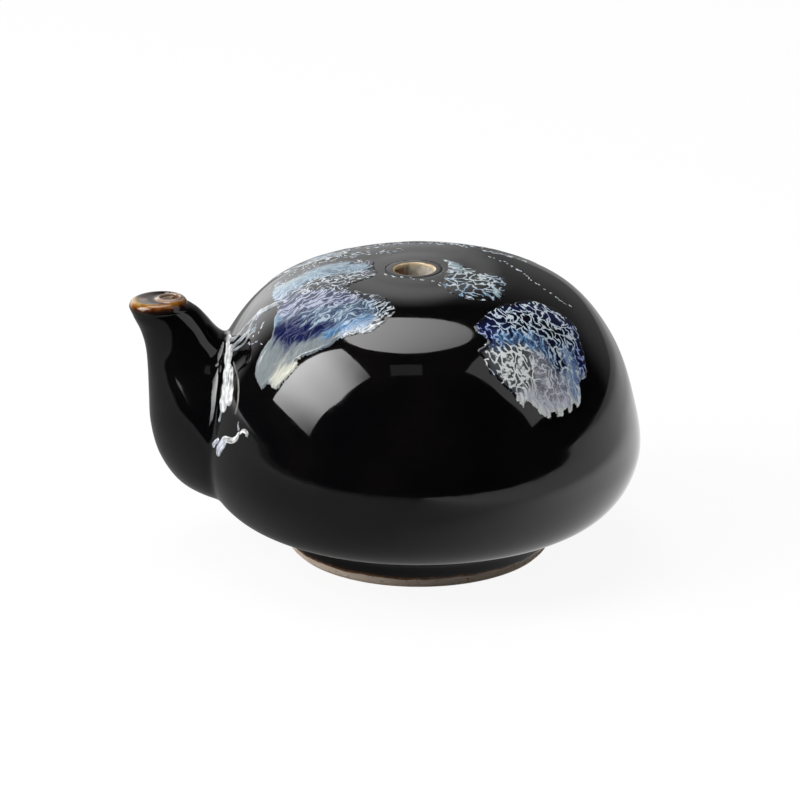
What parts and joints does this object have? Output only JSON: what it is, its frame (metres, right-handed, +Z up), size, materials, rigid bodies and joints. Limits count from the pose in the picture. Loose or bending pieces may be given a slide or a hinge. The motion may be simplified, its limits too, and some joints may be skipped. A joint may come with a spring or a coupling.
{
  "type": "calligraphy water dropper",
  "caption": "Squat black-glazed pottery water dropper with a filling hole in its crown, a wide horn spout with an amber lip, and blue kiln-change patches.",
  "frame": {"origin": "middle of the bounding box's footprint, on the table under the foot ring", "axes": "+Z up, the spout points to -X, and the picture is taken looking along +Y"},
  "size_m": [0.0872, 0.076, 0.0493],
  "materials": {
    "clay": "bare buff stoneware, matt",
    "slip": "smoothed slip, matt",
    "black_glaze": "glossy black glaze",
    "foot_glaze": "glossy black glaze breaking to brown at its lower edge",
    "amber_glaze": "thin glossy amber-brown glaze",
    "cream_glaze": "thin glossy cream glaze edge",
    "kiln_glaze": "glossy blue, navy and white kiln-change glaze"
  },
  "bodies": {
    "root": {"lower_shell": "clay", "upper_shell": "clay", "belly_seam": "slip", "foot_ring": "clay", "spout": "clay", "spout_seam": "slip", "body_glaze": "black_glaze", "foot_glaze": "foot_glaze", "spout_glaze": "black_glaze", "lip_glaze": "amber_glaze", "crease_glaze": "black_glaze", "hole_edge_glaze": "cream_glaze", "patch_right": "kiln_glaze", "patch_left": "kiln_glaze", "patch_top": "kiln_glaze", "patch_root": "kiln_glaze", "patch_back": "kiln_glaze", "patch_back_small": "kiln_glaze"}
  },
  "joints": []
}
